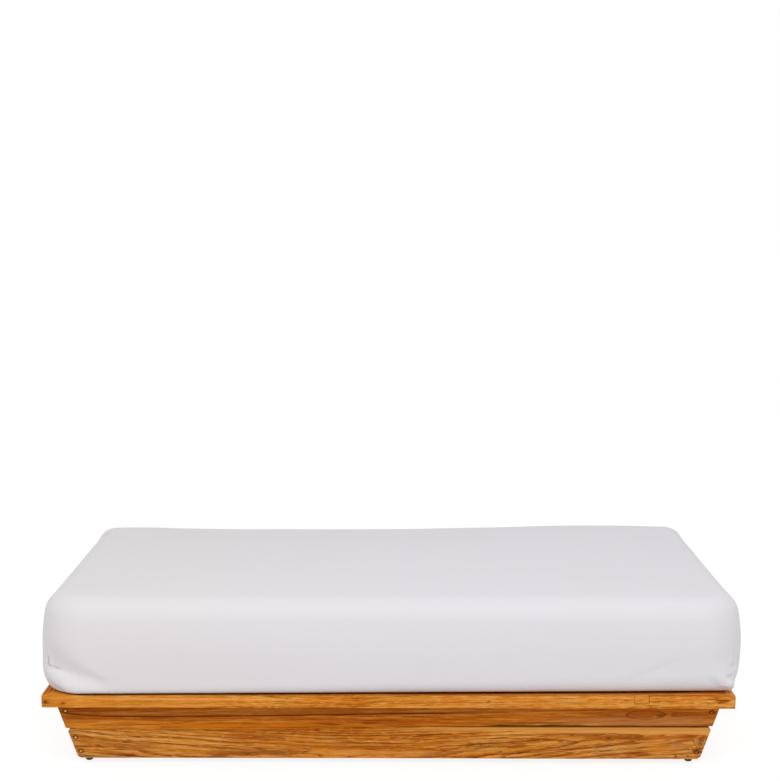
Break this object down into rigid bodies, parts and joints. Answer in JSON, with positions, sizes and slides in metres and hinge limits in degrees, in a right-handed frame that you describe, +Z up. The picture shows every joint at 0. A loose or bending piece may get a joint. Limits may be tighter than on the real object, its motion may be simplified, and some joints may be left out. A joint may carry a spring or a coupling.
{
  "type": "backless divan",
  "caption": "Backless divan: a low teak base with leaning plank sides, an overhanging rim and small glides, carrying a deep lift-off mattress in a smooth pale fitted cover.",
  "frame": {"origin": "on the floor, under the middle of the divan", "axes": "+X along the length, the pictured long side faces -Y, +Z up"},
  "size_m": [1.94, 0.908, 0.5019],
  "materials": {
    "teak": "satin",
    "peg_wood": "satin",
    "inner_timber": "matte",
    "webbing": "matte",
    "glide_plastic": "satin",
    "foam": "matte",
    "cover_cloth": "matte",
    "elastic": "matte"
  },
  "bodies": {
    "base": {"rim_front": "teak", "rim_back": "teak", "rim_left": "teak", "rim_right": "teak", "rim_repair_patch": "teak", "apron_upper_front": "teak", "apron_upper_back": "teak", "apron_upper_left": "teak", "apron_upper_right": "teak", "apron_lower_front": "teak", "apron_lower_back": "teak", "apron_lower_left": "teak", "apron_lower_right": "teak", "corner_peg_front_left_1": "peg_wood", "corner_peg_front_left_2": "peg_wood", "corner_peg_front_left_3": "peg_wood", "corner_peg_front_right_1": "peg_wood", "corner_peg_front_right_2": "peg_wood", "corner_peg_front_right_3": "peg_wood", "corner_peg_back_left_1": "peg_wood", "corner_peg_back_left_2": "peg_wood", "corner_peg_back_left_3": "peg_wood", "corner_peg_back_right_1": "peg_wood", "corner_peg_back_right_2": "peg_wood", "corner_peg_back_right_3": "peg_wood", "corner_post_front_left": "inner_timber", "corner_post_front_right": "inner_timber", "corner_post_back_left": "inner_timber", "corner_post_back_right": "inner_timber", "cleat_front": "inner_timber", "cleat_back": "inner_timber", "cleat_left": "inner_timber", "cleat_right": "inner_timber", "centre_bearer": "inner_timber", "cross_rail_left": "inner_timber", "cross_rail_right": "inner_timber", "centre_foot_left": "inner_timber", "centre_foot_right": "inner_timber", "glide_front_left": "glide_plastic", "glide_front_right": "glide_plastic", "glide_back_left": "glide_plastic", "glide_back_right": "glide_plastic", "glide_centre_left": "glide_plastic", "glide_centre_right": "glide_plastic", "slat_01": "inner_timber", "slat_02": "inner_timber", "slat_03": "inner_timber", "slat_04": "inner_timber", "slat_05": "inner_timber", "slat_06": "inner_timber", "slat_07": "inner_timber", "slat_08": "inner_timber", "slat_09": "inner_timber", "slat_10": "inner_timber", "slat_11": "inner_timber", "slat_tape_front": "webbing", "slat_tape_back": "webbing"},
    "mattress": {"mattress_core": "foam", "fitted_cover": "cover_cloth", "hem_elastic": "elastic"}
  },
  "joints": [
    {"name": "mattress_lift", "type": "slide", "parent": "base", "child": "mattress", "axis": [0, 0, 1], "range_m": [0, 0.3]}
  ]
}
